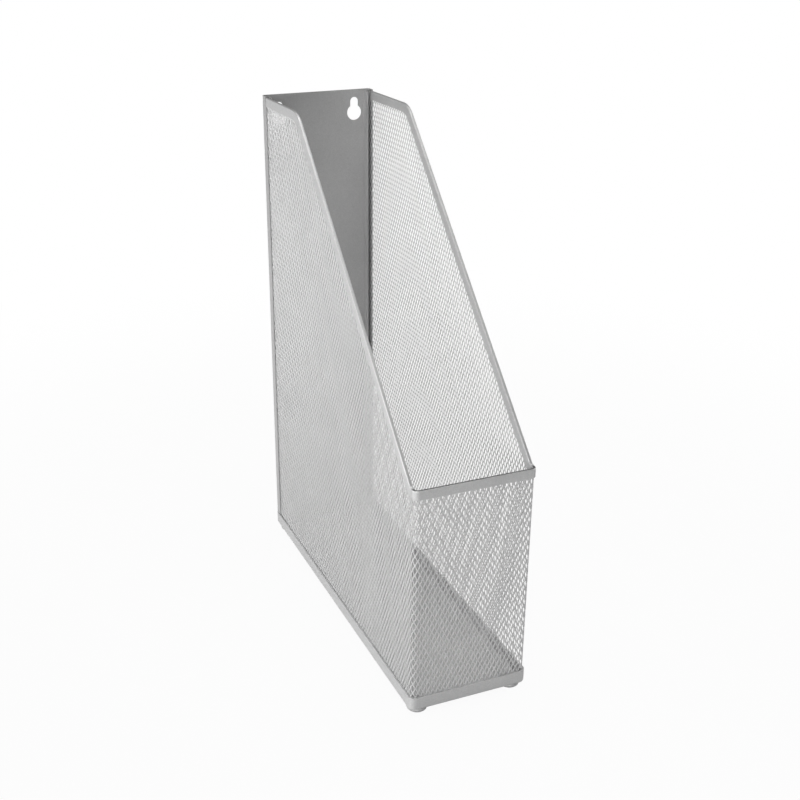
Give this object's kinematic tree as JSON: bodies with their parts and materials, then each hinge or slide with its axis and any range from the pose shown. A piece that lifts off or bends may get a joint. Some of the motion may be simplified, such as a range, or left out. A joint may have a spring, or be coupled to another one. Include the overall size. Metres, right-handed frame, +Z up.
{
  "type": "magazine file holder",
  "caption": "Open desk file for magazines: expanded-metal sides and low front sloping up to a tall solid back with keyholes, on a pressed pan with round feet.",
  "frame": {"origin": "middle of the footprint, on the surface the four feet stand on", "axes": "+Z up, -Y toward the low open front, +Y toward the tall back, +X toward the right side seen from the front"},
  "size_m": [0.075, 0.242, 0.315],
  "materials": {
    "painted_sheet": "satin silver-grey powder coat on sheet steel",
    "painted_mesh": "satin silver-grey powder coat on expanded steel mesh"
  },
  "bodies": {
    "root": {"base_pan": "painted_sheet", "back_panel": "painted_sheet", "rim_front": "painted_sheet", "rim_left": "painted_sheet", "rim_right": "painted_sheet", "clamp_strip_left": "painted_sheet", "clamp_strip_right": "painted_sheet", "mesh_front": "painted_mesh", "mesh_left": "painted_mesh", "mesh_right": "painted_mesh"}
  },
  "joints": []
}
